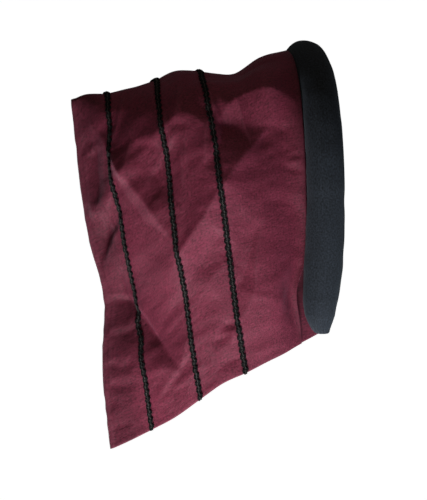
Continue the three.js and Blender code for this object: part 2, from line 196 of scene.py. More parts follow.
def quarterArc(a, b):
    return math.pi / 2 * np.sqrt((a * a + b * b) / 2)


# Splits an arch of one crown arc and one straight side so that down follows its length.
def hoopPlace(down, halfWidth, crown, drop):
    arc = quarterArc(halfWidth, crown)
    crownShare = arc / (arc + drop - crown)
    isCrown = down < crownShare
    angle = np.where(isCrown, down / crownShare, 1) * math.pi / 2
    side = np.where(isCrown, 0, (down - crownShare) / (1 - crownShare))
    return angle, side


rollRadius = roll["diameter"] / 2
rollShoulderZ = roll["rise"] - roll["shoulder"]
rollLeg = rollShoulderZ - arches["hemZ"][0] * hood["drop"]
edgeReach = rollRadius + edge["seatGap"] + hood["thickness"] / 2
edgeTop = math.radians(edge["topAngle"])
edgeHem = math.radians(edge["hemAngle"])
rollY = arches["crestY"][0] * hood["length"] - edgeReach * math.cos(edgeTop)


# The middle line of the roll from the top (down 0) to the level of the hem (1), and the
# direction that points away from the face there.
def rollLine(down):
    angle, side = hoopPlace(down, roll["halfWidth"], roll["shoulder"], roll["shoulder"] + rollLeg)
    narrowing = roll["endHalfWidth"] - roll["halfWidth"]
    x = roll["halfWidth"] * np.sin(angle) + narrowing * smooth(side)
    y = rollY - roll["bulge"] * np.sin(angle) + roll["setBack"] * side ** 2
    z = rollShoulderZ + roll["shoulder"] * np.cos(angle) - rollLeg * side
    outX = roll["shoulder"] * np.sin(angle)
    outZ = roll["halfWidth"] * np.cos(angle)
    outZ = outZ + narrowing * 6 * side * (1 - side) * roll["shoulder"] / rollLeg
    length = np.hypot(outX, outZ)
    return np.stack([x, y, z], -1), np.stack([outX / length, 0 * outX, outZ / length], -1)


# A point beside the roll: angle is outward of straight back, reach is from its middle.
def besideRoll(down, angle, reach):
    middle, out = rollLine(down)
    point = middle + out * (reach * np.sin(angle))[..., None]
    point[..., 1] += reach * np.cos(angle)
    return point


def edgeAngle(down):
    return mixed(edgeTop, edgeHem, smooth(down))


def frontEdge(down):
    length = np.where(down < 0.85, 0.075, 0.1)
    point = besideRoll(down, edgeAngle(down), edgeReach + 0 * down)
    point[..., 1] += edge["standOff"] * bell((down - 0.85) / length)
    return point


def archPoint(along, down):
    crestZ = archAt("crestZ", along) * hood["drop"]
    drop = crestZ - archAt("hemZ", along) * hood["drop"]
    crown = archAt("crown", along) * hood["drop"]
    upper = hood["seamHalfWidth"] + archAt("upper", along) * hood["halfWidth"]
    hem = hood["seamHalfWidth"] + archAt("hem", along) * hood["halfWidth"]
    swell = archAt("swell", along) * hood["halfWidth"]
    angle, side = hoopPlace(down, upper, crown, drop)
    x = upper * np.sin(angle) + (hem - upper) * smooth(side) + 16 * swell * (side * (1 - side)) ** 2
    fallen = crown * (1 - np.cos(angle)) + (drop - crown) * side
    share = fallen / drop
    lean = mixed(archAt("crestY", along), archAt("hemY", along), share) * hood["length"]
    nearCrest = share / 0.1 * np.exp(1 - share / 0.1)
    bow = hood["braidBow"] * 4 * share * (1 - share) + hood["crownBow"] * nearCrest
    dent = hood["napeDent"] * along ** 4 * bell((down - 0.57) / 0.14)
    return np.stack([x, lean + bow * np.sin(math.pi * along) - dent, crestZ - fallen], -1)


# The middle of the cloth before folding. Hoop runs from the right hem (-1) over the crest (0)
# to the left hem (1).
def clothPoint(along, hoop):
    along, hoop = np.broadcast_arrays(np.asarray(along, float), np.asarray(hoop, float))
    down = np.abs(hoop)
    point = archPoint(along, down)
    shift = frontEdge(down) - archPoint(0 * along, down)
    held = 1 - smooth(np.clip(along / hood["edgeBlend"], 0, 1))
    point = point + shift * held[..., None]
    point[..., 0] *= np.where(hoop < 0, -1, 1)
    return point


def clothNormal(along, hoop):
    step = 1e-3
    ahead, behind = np.maximum(along - step, 0), np.minimum(along + step, 1)
    left, right = np.minimum(hoop + step, 1), np.maximum(hoop - step, -1)
    run = clothPoint(behind, hoop) - clothPoint(ahead, hoop)
    fall = clothPoint(along, left) - clothPoint(along, right)
    return unit(np.cross(fall, run))


# A crease follows a line of (along, down) places. Rise is in millimetres, negative for one that
# goes inwards. Above and below are its widths on each side, two where the start and the end of
# the line differ. Shape is 1 for flat flanks and more for hollow ones. Taper is the share of the
# line over which the crease narrows to a point at its start and at its end.
def crease(line, rise, above, below=None, shape=1.5, taper=(0.3, 0.3)):
    return {"line": line, "rise": rise, "above": above, "below": below or above, "shape": shape,
            "taper": taper}


# Folds of the near side
folds = [
    # the large V, pressed in when the hood lay folded
    crease([(0.9, 0.13), (0.835, 0.22), (0.694, 0.433), (0.604, 0.6),
            (0.5, 0.555), (0.385, 0.467), (0.271, 0.392), (0.144, 0.345)],
           rise=12, above=(42, 72), below=45, taper=(0.2, 0.22)),
    crease([(0.835, 0.22), (0.694, 0.433), (0.633, 0.546)],
           rise=3.6, above=19, below=9, shape=1, taper=(0.1, 0.3)),
    crease([(0.408, 0.3), (0.28, 0.304), (0.144, 0.351), (0, 0.405)],
           rise=-9, above=(46, 44), below=(36, 95), shape=1.2, taper=(0.12, 0)),
    # crown
    crease([(0.39, 0.305), (0.32, 0.252), (0.25, 0.235), (0.16, 0.25), (0, 0.305)],
           rise=15, above=44, below=(36, 46), shape=1.2, taper=(0.3, 0)),
    crease([(0.86, 0.2), (0.7, 0.25), (0.56, 0.27), (0.44, 0.25)],
           rise=3, above=60, below=34, taper=(0.25, 0.4)),
    crease([(0.745, 0.25), (0.66, 0.37), (0.585, 0.48)],
           rise=-4.5, above=38, below=26, shape=1.4, taper=(0.3, 0.35)),
    crease([(0.512, 0.155), (0.543, 0.236), (0.587, 0.318)],
           rise=2.4, above=13, shape=1.4, taper=(0.25, 0.35)),
    crease([(0.539, 0.318), (0.537, 0.422)], rise=1.3, above=5, shape=1.3, taper=(0.25, 0.3)),
    crease([(0.595, 0.261), (0.551, 0.281), (0.508, 0.3)],
           rise=-2, above=11, below=8, shape=1.4, taper=(0.35, 0.35)),
    crease([(0.755, 0.069), (0.798, 0.147), (0.835, 0.204)], rise=1.4, above=5, taper=(0.3, 0.2)),
    crease([(0.537, 0.245), (0.475, 0.28), (0.44, 0.315)], rise=1.8, above=10, below=14),
    # back column
    crease([(0.93, 0.09), (0.915, 0.13), (0.9, 0.155)], rise=1.2, above=6),
    crease([(0.913, 0.163), (0.957, 0.144), (1, 0.171)],
           rise=-1.6, above=5, below=14, taper=(0.2, 0)),
    crease([(0.914, 0.168), (0.921, 0.222), (0.928, 0.333)],
           rise=-3.2, above=14, below=9, shape=1.3, taper=(0.15, 0.15)),
    crease([(1, 0.325), (0.942, 0.35), (0.882, 0.372)],
           rise=4.5, above=46, below=26, shape=1.4, taper=(0, 0.3)),
    crease([(1, 0.385), (0.948, 0.424), (0.91, 0.447)],
           rise=-8.5, above=30, below=46, shape=1.2, taper=(0, 0.3)),
    crease([(0.914, 0.352), (0.899, 0.408), (0.877, 0.449)], rise=1.1, above=5),
    crease([(0.913, 0.499), (0.93, 0.586)], rise=-1, above=5, taper=(0.4, 0.1)),
    crease([(0.992, 0.674), (0.917, 0.701), (0.853, 0.7)], rise=-1.2, above=8, taper=(0.2, 0.3)),
    crease([(0.988, 0.761), (0.923, 0.795), (0.847, 0.802)],
           rise=-1.9, above=9, below=10, taper=(0.2, 0.3)),
    crease([(0.993, 0.822), (0.898, 0.855), (0.852, 0.854)], rise=-1.5, above=9, taper=(0.2, 0.3)),
    crease([(0.99, 0.871), (0.938, 0.89)], rise=-1.2, above=8, below=9, taper=(0.2, 0.5)),
    crease([(0.987, 0.944), (0.898, 0.963)], rise=-0.9, above=8, taper=(0.2, 0.3)),
    # lower arrow, from the back seam under the back braid to its point and back to the hem
    crease([(1, 0.568), (0.922, 0.603), (0.848, 0.685), (0.751, 0.796), (0.671, 0.899)],
           rise=-12, above=(34, 50), below=(40, 24), shape=1.4, taper=(0, 0.4)),
    crease([(1, 0.572), (0.922, 0.607), (0.848, 0.689), (0.751, 0.8)],
           rise=-3.4, above=4, below=18, shape=1, taper=(0, 0.4)),
    crease([(0.612, 0.865), (0.675, 0.897), (0.794, 0.942)],
           rise=-1.6, above=6, below=13, shape=1.2, taper=(0.3, 0.35)),
    crease([(0.637, 0.948), (0.714, 0.937), (0.756, 0.938)], rise=-0.9, above=6, below=10),
    crease([(0.809, 0.886), (0.761, 0.902)], rise=-0.7, above=5, below=6),
    # between the back and middle braids, inside the V
    crease([(0.748, 0.238), (0.687, 0.261), (0.638, 0.298)],
           rise=-2.2, above=6, below=20, shape=1.6, taper=(0.25, 0.25)),
    crease([(0.81, 0.28), (0.72, 0.31), (0.64, 0.35)],
           rise=2.2, above=40, below=14, shape=1.3, taper=(0.2, 0.15)),
    crease([(0.69, 0.42), (0.636, 0.432)], rise=0.8, above=4, shape=1.3, taper=(0.4, 0.2)),
    crease([(0.692, 0.457), (0.636, 0.465)], rise=0.7, above=4, shape=1.3, taper=(0.4, 0.2)),
    crease([(0.684, 0.495), (0.634, 0.497)], rise=0.6, above=4, shape=1.3, taper=(0.4, 0.2)),
    # between the middle and front braids
    crease([(0.603, 0.204), (0.589, 0.272), (0.593, 0.325)], rise=1.3, above=6, taper=(0.3, 0.2)),
    crease([(0.577, 0.262), (0.534, 0.283)], rise=-1, above=6),
    crease([(0.553, 0.32), (0.559, 0.385), (0.561, 0.452)], rise=1.3, above=4, taper=(0.2, 0.4)),
    crease([(0.535, 0.319), (0.529, 0.385), (0.527, 0.435)], rise=-1.1, above=4, taper=(0.2, 0.4)),
    crease([(0.491, 0.412), (0.42, 0.416)], rise=-0.7, above=4, below=5, taper=(0.4, 0.2)),
    crease([(0.476, 0.487), (0.407, 0.481)], rise=-0.8, above=4, below=5, taper=(0.4, 0.2)),
    crease([(0.42, 0.605), (0.5, 0.64), (0.61, 0.7)],
           rise=-3, above=16, below=20, shape=1.3, taper=(0.1, 0.35)),
    crease([(0.4, 0.675), (0.48, 0.71), (0.57, 0.75)],
           rise=2, above=14, below=26, shape=1.3, taper=(0.2, 0.3)),
    crease([(0.61, 0.705), (0.56, 0.7)], rise=-0.5, above=3, below=5, shape=1.3, taper=(0.2, 0.5)),
    crease([(0.395, 0.861), (0.467, 0.855), (0.525, 0.874)],
           rise=-2.6, above=6, below=10, taper=(0.15, 0.5)),
    crease([(0.434, 0.887), (0.492, 0.884), (0.56, 0.877)],
           rise=-1.8, above=5, below=9, taper=(0.2, 0.4)),
    crease([(0.413, 0.956), (0.484, 0.953), (0.549, 0.968)],
           rise=-1.2, above=8, below=9, taper=(0.2, 0.4)),
    crease([(0.536, 0.919), (0.585, 0.917)], rise=-0.8, above=8, below=10),
    # front panel
    crease([(0.398, 0.768), (0.222, 0.821), (0, 0.915)],
           rise=7.5, above=74, below=60, shape=1.2, taper=(0.2, 0)),
    crease([(0.222, 0.537), (0.123, 0.567), (0.016, 0.598)],
           rise=-1.5, above=14, below=60, shape=1.3, taper=(0.4, 0)),
    crease([(0.318, 0.55), (0.384, 0.606)], rise=-0.8, above=6),
    crease([(0.101, 0.443), (0.017, 0.45)], rise=-1.2, above=3, below=5, taper=(0.5, 0)),
    crease([(0.113, 0.454), (0.014, 0.466)], rise=0.9, above=4, taper=(0.5, 0)),
    crease([(0.105, 0.47), (0.011, 0.493)], rise=-1.4, above=4, below=6, taper=(0.5, 0)),
]


# A width is one value, or one for the start of the line and one for its end.
def widthAt(width, run):
    first, last = width if isinstance(width, tuple) else (width, width)
    return mixed(first, last, run)


# Rise of one fold over the flat piece.
def foldRise(fold, along, down):
    scale = np.array([hood["length"], hood["drop"]])
    line = np.array(fold["line"]) * scale
    steps = line[1:] - line[:-1]
    lengths = np.hypot(steps[:, 0], steps[:, 1])
    total = lengths.sum()
    place = np.stack([along * scale[0], down * scale[1]], -1)
    nearest = np.full(along.shape, 1e9)
    lean = np.zeros(along.shape)
    distances = []
    runs = []
    passed = 0.0
    for start, step, length in zip(line[:-1], steps, lengths):
        offset = place - start
        share = np.clip((offset @ step) / length ** 2, 0, 1)
        apart = offset - share[..., None] * step
        distance = np.hypot(apart[..., 0], apart[..., 1])
        turn = 1 if step[0] > 0 else -1
        cross = turn * (offset[..., 1] * step[0] - offset[..., 0] * step[1]) / length
        # beyond a bend both parts are equally near, and their mean tells the side
        isBend = np.abs(distance - nearest) < 1e-6
        lean = np.where(isBend, lean + cross, np.where(distance < nearest, cross, lean))
        nearest = np.minimum(nearest, distance)
        distances.append(distance)
        runs.append((passed + share * length) / total)
        passed += length
    # where two parts of the line are about as near, their flanks meet softly
    ease = (nearest + 1) / 9
    together = sum(np.exp((nearest - distance) / ease) for distance in distances)
    weights = [np.exp((nearest - distance) / (3 * ease)) for distance in distances]
    run = sum(weight * value for weight, value in zip(weights, runs)) / sum(weights)
    distance = np.maximum(nearest - ease * np.log(together), 0)
    ends = np.ones(along.shape)
    taperIn, taperOut = fold["taper"]
    if taperIn:
        ends = ends * np.clip(run / taperIn, 0, 1)
    if taperOut:
        ends = ends * np.clip((1 - run) / taperOut, 0, 1)
    width = np.where(lean > 0, widthAt(fold["below"], run), widthAt(fold["above"], run)) * ends + 1e-6
    return fold["rise"] * ends * np.maximum(0, 1 - distance / width) ** fold["shape"]


def braidAlong(line, down):
    stops = np.array(line, float)
    i = np.clip(np.searchsorted(stops[:, 0], down) - 1, 0, len(stops) - 2)
    share = smooth(np.clip((down - stops[i, 0]) / (stops[i + 1, 0] - stops[i, 0]), 0, 1))
    return mixed(stops[i, 1], stops[i + 1, 1], share)


# All relief of the hood at one place: folds, soft waves of the cloth and the pull of stitches.
def reliefAt(along, hoop):
    down = np.abs(hoop)
    x = along * hood["length"]
    y = down * hood["drop"]
    folded = np.zeros(along.shape)
    lower = smooth(np.clip((down - 0.5) / 0.25, 0, 1))
    for fold in folds:
        # the higher a fold, the sooner it dies away towards the facing and the seam
        height = abs(fold["rise"])
        frontReach = (0.03 + 0.0086 * height) * mixed(1, 1.9, lower)
        front = smooth(np.clip(along / frontReach, 0, 1))
        back = smooth(np.clip((1 - along) / (0.03 + 0.004 * height), 0, 1))
        folded = folded + foldRise(fold, along, down) * front * back
    isFar = smooth(np.clip(hoop / 0.1 + 0.5, 0, 1))
    folded = folded * mixed(1, hood["farFolds"], isFar)
    side = np.where(hoop < 0, 0, 40)
    waves = 0.6 * softNoise(x / 30 + side, y / 13, 11) + 0.3 * softNoise(x / 13 + side, y / 6.5, 12)
    waves = waves + 0.5 * softNoise(x / 55 + side, y / 60, 13)
    pulls = np.zeros(along.shape)
    for row, line in enumerate(braid["lines"].values()):
        apart = np.abs(along - braidAlong(line, down)) * hood["length"]
        pucker = softNoise(y / 5 + side, 0 * y + row * 10 + 5, 14)
        pulls = pulls + 0.3 * pucker * bell(apart / 7) - 0.35 * bell(apart / 3.4)
    curl = edge["curl"] * bell((down - 0.84) / 0.1) * np.maximum(0, 1 - along / 0.06) ** 2
    edges = smooth(np.clip(along / 0.05, 0, 1)) * smooth(np.clip((1 - along) / 0.03, 0, 1))
    toHem = sideReach * (1 - down)
    toStitch = toHem - hood["hemStitch"]
    hem = 0.08 * bell((toHem - 2.4) / 2) - 0.05 * bell(toStitch / 0.8)
    hem = hem + 0.05 * np.sin(x / 1.9) * bell(toStitch / 2)
    toSeam = (1 - along) * hood["length"]
    seam = -0.5 * bell((toSeam - hood["seamStitch"]) / 1.1) * (0.7 + 0.3 * np.sin(y / 1.1))
    seam = seam + 0.5 * bell(toSeam / 6) * softNoise(y / 8 + side, 0 * y + 3, 15)
    return folded + curl + (waves + pulls) * edges + hem + seam


def skinPoint(along, hoop, offset):
    normal = clothNormal(along, hoop)
    return clothPoint(along, hoop) + normal * (reliefAt(along, hoop) + offset)[..., None]


# Makes a Blender object at the origin from points in millimetres.
def makeObject(name, points, faces, attributes=None):
    mesh = bpy.data.meshes.new(name)
    mesh.from_pydata((np.asarray(points) * millimetre).tolist(), [], faces)
    mesh.validate()
    mesh.polygons.foreach_set("use_smooth", np.ones(len(mesh.polygons), bool))
    for key, values in (attributes or {}).items():
        values = np.asarray(values, float)
        kind = "FLOAT" if values.ndim == 1 else "FLOAT_VECTOR"
        layer = mesh.attributes.new(key, kind, "POINT")
        layer.data.foreach_set("value" if values.ndim == 1 else "vector", values.ravel())
    mesh.update()
    piece = bpy.data.objects.new(name, mesh)
    bpy.context.scene.collection.objects.link(piece)
    return piece


# Quads between two rows of point numbers.
def stripQuads(a, b):
    return np.stack([a[:-1], a[1:], b[1:], b[:-1]], -1).reshape(-1, 4)


def gridQuads(grid):
    return np.stack([grid[:-1, :-1], grid[:-1, 1:], grid[1:, 1:], grid[1:, :-1]], -1).reshape(-1, 4)


# Quads of a tube of rings, with one fan of triangles at each end.
def tubeFaces(grid, startCentre, endCentre):
    closed = np.concatenate([grid, grid[:, :1]], 1)
    faces = gridQuads(closed).tolist()
    faces += [[startCentre, b, a] for a, b in zip(closed[0, :-1], closed[0, 1:])]
    faces += [[endCentre, a, b] for a, b in zip(closed[-1, :-1], closed[-1, 1:])]
    return faces


# Hood

def downLines():
    fine = np.linspace(1 - hood["hemFine"] / sideReach, 1, hood["hemFineSteps"] + 1)
    coarse = np.linspace(0, fine[0], hood["downSteps"] - hood["hemFineSteps"] + 1)
    return np.concatenate([coarse[:-1], fine])


def makeHood():
    down = downLines()
    hoops = np.concatenate([-down[:0:-1], down])
    spread = np.linspace(0, 1, hood["alongSteps"] + 1)
    alongs = spread + 0.045 * np.sin(2 * math.pi * spread) / (2 * math.pi)
    along, hoop = np.meshgrid(alongs, hoops, indexing="ij")
    half = hood["thickness"] / 2
    relief = reliefAt(along, hoop)
    outer = clothPoint(along, hoop) + clothNormal(along, hoop) * (relief + half)[..., None]
    innerAlong = along * (1 - hood["seamDepth"] / hood["length"])
    inner = skinPoint(innerAlong, hoop, -half)
    rows, columns = along.shape
    count = rows * columns
    outerGrid = np.arange(count).reshape(rows, columns)
    innerGrid = outerGrid + count
    rimLoop = lambda grid: np.concatenate([grid[:, 0][::-1], grid[0, 1:], grid[1:, -1]])
    outerRim = rimLoop(outerGrid)
    innerRim = rimLoop(innerGrid)
    points = np.concatenate([outer.reshape(-1, 3), inner.reshape(-1, 3)])
    # a rounded edge between the two skins
    middle = (points[outerRim] + points[innerRim]) / 2
    inward = np.concatenate([outer[:, 1][::-1], outer[1, 1:], outer[1:, -2]])
    away = points[outerRim] - inward
    away = away / np.maximum(np.linalg.norm(away, axis=1, keepdims=True), 1e-6)
    rim = np.arange(len(middle)) + 2 * count
    points = np.concatenate([points, middle + hood["rimRound"] * away])
    faces = gridQuads(outerGrid).tolist() + gridQuads(innerGrid)[:, ::-1].tolist()
    faces += stripQuads(outerRim, rim)[:, ::-1].tolist() + stripQuads(rim, innerRim)[:, ::-1].tolist()
    # the back seam closes each skin
    centre = columns // 2
    for grid, turned in ((outerGrid, False), (innerGrid, True)):
        a = grid[-1, : centre + 1]
        b = grid[-1, centre:][::-1]
        quads = stripQuads(a, b)[:-1]
        tip = np.array([[a[-2], a[-1], b[-2]]])
        if turned:
            quads = quads[:, ::-1]
            tip = tip[:, ::-1]
        faces += quads.tolist() + tip.tolist()
    bottom = [outerRim[0], rim[0], innerRim[0], innerRim[-1], rim[-1], outerRim[-1]]
    faces.append([int(n) for n in bottom])
    place = np.stack([along * hood["length"], hoop * hood["drop"], 0 * along], -1).reshape(-1, 3)
    place = np.concatenate([place, place + [0, 0, 5], place[outerRim]])
    # painted shade: the cloth is painted darker beside the roll, less so at the jaw
    jaw = bell((np.abs(hoop) - 0.85) / 0.12)
    shade = (1 - edge["paintedRollShade"] * (1 - 0.5 * jaw) * np.exp(-along * hood["length"] / 6)).ravel()
    # painted shade: darker behind the back braid
    shade = shade * (1 - hood["paintedBackShade"] * smooth(np.clip((along - 0.84) / 0.08, 0, 1))).ravel()
    # painted shade: the inside skin is painted darker
    shade = np.concatenate([shade, 0 * shade + hood["paintedInsideShade"], shade[outerRim]])
    toHem = sideReach * (1 - np.abs(hoop))
    toSeam = (1 - along) * hood["length"]
    # paler along the hem and the seam from rubbed wear, and along the ridges of the folds partly from
    # wear and partly as a painted highlight
    bent = np.zeros(relief.shape)
    bent[1:-1, 1:-1] = 2 * relief[1:-1, 1:-1] - relief[2:, 1:-1] - relief[:-2, 1:-1]
    wearAndHighlight = np.clip(bent * 4, 0, 1) * 0.6 + 0.7 * np.exp(-toHem / 1.6) + 0.6 * np.exp(-toSeam / 1.6)
    wearAndHighlight = np.clip(wearAndHighlight, 0, 1).ravel()
    wearAndHighlight = np.concatenate([wearAndHighlight, 0 * wearAndHighlight, np.where(toHem.ravel()[outerRim] < 1, 0.7, 0)])
    return makeObject("bonnet_hood", points, faces,
                      {"clothPlace": place, "clothWearAndHighlight": wearAndHighlight, "clothPaintedShade": shade})


# Facing

def makeFacing():
    hoops = np.linspace(-1, 1, facing["rows"] + 1)
    down = np.abs(hoops)
    turn = math.radians(facing["turn"])
    lapDepth = hood["thickness"] / 2 + 3 * edge["seatGap"] + facing["thickness"] / 2
    reach = (rollRadius + edge["seatGap"] + facing["thickness"] / 2) / math.cos(turn / 2)
    side = np.where(hoops < 0, -1.0, 1.0)

    def line(towardsRoll):
        offset = np.full(hoops.shape, towardsRoll - lapDepth)
        stops = [skinPoint(np.full(hoops.shape, facing["lap"]), hoops, offset)]
        for k in (1, 2, 3):
            raised = down - k * facing["slant"] * down ** 12
            stop = besideRoll(raised, edgeAngle(down) - k * turn, reach - towardsRoll + 0 * down)
            stop[:, 0] *= side
            stops.append(stop)
        stops = np.stack(stops)
        padded = np.concatenate([2 * stops[:1] - stops[1:2], stops, 2 * stops[-1:] - stops[-2:-1]])
        shares = np.linspace(0, 3, facing["columns"])
        rows = []
        for share in shares:
            i = min(int(share), 2)
            t = share - i
            a, b, c, d = padded[i : i + 4]
            rows.append(0.5 * (2 * b + (c - a) * t + (2 * a - 5 * b + 4 * c - d) * t * t
                               + (3 * b - a - 3 * c + d) * t ** 3))
        return np.stack(rows, 1)

    half = facing["thickness"] / 2
    rings = np.concatenate([line(-half), line(half)[:, ::-1]], 1)
    count, around = rings.shape[:2]
    columns = facing["columns"]
    grid = np.arange(count * around).reshape(count, around)
    points = rings.reshape(-1, 3)
    faces = gridQuads(np.concatenate([grid, grid[:, :1]], 1)).tolist()
    faces += stripQuads(grid[0, :columns], grid[0, columns:][::-1])[:, ::-1].tolist()
    faces += stripQuads(grid[-1, :columns], grid[-1, columns:][::-1]).tolist()
    # where each point lies on a flat cloth, well away from the hood's piece
    across = np.concatenate([np.linspace(0, 26, columns), np.linspace(26, 0, columns)])
    place = np.broadcast_arrays(across[None] + 300, hoops[:, None] * 330, 0 * across[None])
    place = np.stack(place, -1).reshape(-1, 3)
    wearAndHighlight = np.zeros(len(points))
    # painted shade: the facing is painted darker, most beside the jaw where the roll shades it
    rollShade = edge["paintedRollShade"] * bell((down - 0.82) / 0.1)
    shade = hood["paintedInsideShade"] - rollShade[:, None] + 0 * across[None]
    return makeObject("bonnet_facing", points, faces,
                      {"clothPlace": place, "clothWearAndHighlight": wearAndHighlight, "clothPaintedShade": shade.ravel()})


# Roll

def makeRoll():
    hoopLength = float(quarterArc(roll["halfWidth"], roll["shoulder"])) + rollLeg
    reachEnd = 1 - roll["endLift"] / hoopLength
    hoops = reachEnd * np.linspace(-1, 1, roll["rings"] + 1)
    # more rings where the ends are gathered
    fine = np.linspace(0, 1, 13)[1:-1] ** 1.6 * roll["gatherReach"] / hoopLength
    hoops = np.unique(np.concatenate([hoops, reachEnd - fine, fine - reachEnd]).round(6))
    down = np.abs(hoops)
    fromEnd = (reachEnd - down) * hoopLength
    angle = -2 * math.pi * np.arange(roll["sides"]) / roll["sides"]
    downGrid, angleGrid = np.broadcast_arrays(down[:, None], angle[None])
    length = hoops[:, None] * hoopLength + 0 * angle[None]
    lumps = softNoise(length / 30, 3 * np.cos(angle)[None] + 20 + 0 * length, 21)
    lumps = lumps + 0.5 * softNoise(length / 12 + 9, 3 * np.sin(angle)[None] + 20 + 0 * length, 22)
    gathered = (np.exp(-fromEnd / 11) * np.clip(fromEnd / 2, 0, 1))[:, None]
    waved = np.abs(np.sin(roll["pleats"] / 2 * angle + 0.4 * np.sin(3 * angle)))
    pleats = gathered * (waved[None] - 0.6) * roll["gatherDepth"]
    fromSeam = (angle + 2 * math.pi) % (2 * math.pi) - math.radians(roll["seamAngle"])
    seam = -roll["seamSink"] * bell(fromSeam * rollRadius / 1.1)
    girth = np.interp(fromEnd, *roll["endShape"])
    radius = rollRadius * girth[:, None] + roll["lumps"] * lumps + pleats + seam[None]
    points = besideRoll(downGrid, angleGrid, np.maximum(radius, 0.6))
    points[..., 0] *= np.where(hoops < 0, -1, 1)[:, None]
    points[..., 1] -= roll["lean"] * np.exp(-fromEnd / 7)[:, None]
    grid = np.arange(points.shape[0] * points.shape[1]).reshape(points.shape[:2])
    ends = np.stack([points[0].mean(0), points[-1].mean(0)])
    ends[:, 2] += 1.5
    flat = points.reshape(-1, 3)
    faces = tubeFaces(grid[:, ::-1], len(flat), len(flat) + 1)
    place = np.stack([length, -angle[None] * rollRadius + 0 * length, 0 * length], -1).reshape(-1, 3)
    place = np.concatenate([place, [[0, 0, 0], [0, 0, 0]]])
    return makeObject("bonnet_roll", np.concatenate([flat, ends]), faces, {"clothPlace": place})


# Braids: two scalloped side strands, a core between them and a thin yarn that crosses it. Each
# strand swings about its middle by so many millimetres, at a height over the cloth. Tone is 0 for
# the dark thread and 1 for the core, whose paler colour is a painted highlight; the yarn's small
# tone is a faint painted highlight too.

strands = [
    # left side
    {"middle": -1.25, "swing": 0.8, "phase": 0.35, "height": 0.85, "lift": 0.3,
     "halfWidth": 1.0, "halfHeight": 0.8, "swell": 0.22, "tone": 0},
    # right side
    {"middle": 1.25, "swing": 0.8, "phase": 0, "height": 0.85, "lift": 0.3,
     "halfWidth": 1.0, "halfHeight": 0.8, "swell": 0.22, "tone": 0},
    # core
    {"middle": 0, "swing": 0.35, "phase": 0.15, "height": 1.3, "lift": 0.15,
     "halfWidth": 0.52, "halfHeight": 0.6, "swell": 0, "tone": 1},
    # yarn
    {"middle": 0, "swing": 1.0, "phase": 0.6, "height": 1.5, "lift": 0.4,
     "halfWidth": 0.36, "halfHeight": 0.36, "swell": 0, "tone": 0.1},
]


def makeBraid(name, stops):
    # an even step along the strip, from hem to hem
    dense = np.linspace(-1, 1, 2401)
    outside = np.full(dense.shape, hood["thickness"] / 2)
    line = skinPoint(braidAlong(stops, np.abs(dense)), dense, outside)
    lengths = np.concatenate([[0], np.cumsum(np.linalg.norm(np.diff(line, axis=0), axis=1))])
    count = int(lengths[-1] / braid["step"])
    length = np.linspace(0, lengths[-1], count + 1)
    hoops = np.interp(length, lengths, dense)
    surface = hood["thickness"] / 2 + braid["gap"]
    centre = braidAlong(stops, np.abs(hoops))
    at = lambda shift: skinPoint(centre + shift, hoops, np.full(hoops.shape, surface))
    middle = at(0)
    halfWidth = braid["halfWidth"] / hood["length"]
    across = unit(at(halfWidth) - at(-halfWidth))
    run = unit(np.gradient(middle, axis=0))
    normal = unit(np.cross(run, across))
    # up at the crest
    if normal[len(normal) // 2, 2] < 0:
        normal = -normal
    allPoints, allFaces, allPlaces, allTones = [], [], [], []
    sides = braid["sides"]
    angle = 2 * math.pi * np.arange(sides) / sides
    for strand in strands:
        phase = 2 * math.pi * (length / braid["scallop"] + strand["phase"])
        phase = phase + 0.5 * softNoise(length / 9, 0 * length + stops[0][1] * 40, 31)
        swing = strand["middle"] + strand["swing"] * np.sin(phase)
        height = strand["height"] + strand["lift"] * np.cos(2 * phase)
        path = middle + across * swing[:, None] + normal * height[:, None]
        swell = 1 + strand["swell"] * np.sin(phase) * np.sign(strand["middle"])
        overhang = run * braid["overhang"]
        path = np.concatenate([path[:1] - overhang[:1], path, path[-1:] + overhang[-1:]])
        widths = np.concatenate([[0.7], swell, [0.7]])
        tangent = unit(np.gradient(path, axis=0))
        sideways = unit(np.cross(tangent, np.concatenate([normal[:1], normal, normal[-1:]])))
        rise = np.cross(sideways, tangent)
        ring = sideways[:, None] * (np.cos(angle) * strand["halfWidth"])[None, :, None]
        ring = ring * widths[:, None, None]
        ring = ring + rise[:, None] * (np.sin(angle) * strand["halfHeight"])[None, :, None]
        points = path[:, None] + ring
        start = sum(len(p) for p in allPoints)
        grid = np.arange(points.shape[0] * sides).reshape(-1, sides) + start
        flat = points.reshape(-1, 3)
        allFaces += tubeFaces(grid[:, ::-1], start + len(flat), start + len(flat) + 1)
        allPoints.append(np.concatenate([flat, path[:1], path[-1:]]))
        along = np.concatenate([[-1], length, [lengths[-1] + 1]])
        place = np.stack(np.broadcast_arrays(along[:, None], (angle * strand["halfWidth"])[None],
                                             0 * along[:, None]), -1).reshape(-1, 3)
        allPlaces.append(np.concatenate([place, [[0, 0, 0], [0, 0, 0]]]))
        allTones.append(np.full(len(flat) + 2, strand["tone"]))
    attributes = {"clothPlace": np.concatenate(allPlaces), "strandTone": np.concatenate(allTones)}
    return makeObject(name, np.concatenate(allPoints), allFaces, attributes)


hoodPiece = makeHood()
facingPiece = makeFacing()
print("cloth made:", len(hoodPiece.data.polygons), "faces")
rollPiece = makeRoll()
braidPieces = {key: makeBraid(f"bonnet_braid_{key}", line) for key, line in braid["lines"].items()}
print("roll and braids made")


# Materials

def addNode(tree, kind, inputs=None, **settings):
    node = tree.nodes.new(kind)
    node.location = (190 * (len(tree.nodes) % 9), -260 * (len(tree.nodes) // 9))
    for key, value in settings.items():
        setattr(node, key, value)
    for key, value in (inputs or {}).items():
        if isinstance(value, bpy.types.NodeSocket):
            tree.links.new(value, node.inputs[key])
        else:
            node.inputs[key].default_value = value
    return node


def compute(tree, operation, a, b=None, c=None):
    inputs = {0: a}
    if b is not None:
        inputs[1] = b
    if c is not None:
        inputs[2] = c
    return addNode(tree, "ShaderNodeMath", inputs, operation=operation).outputs[0]


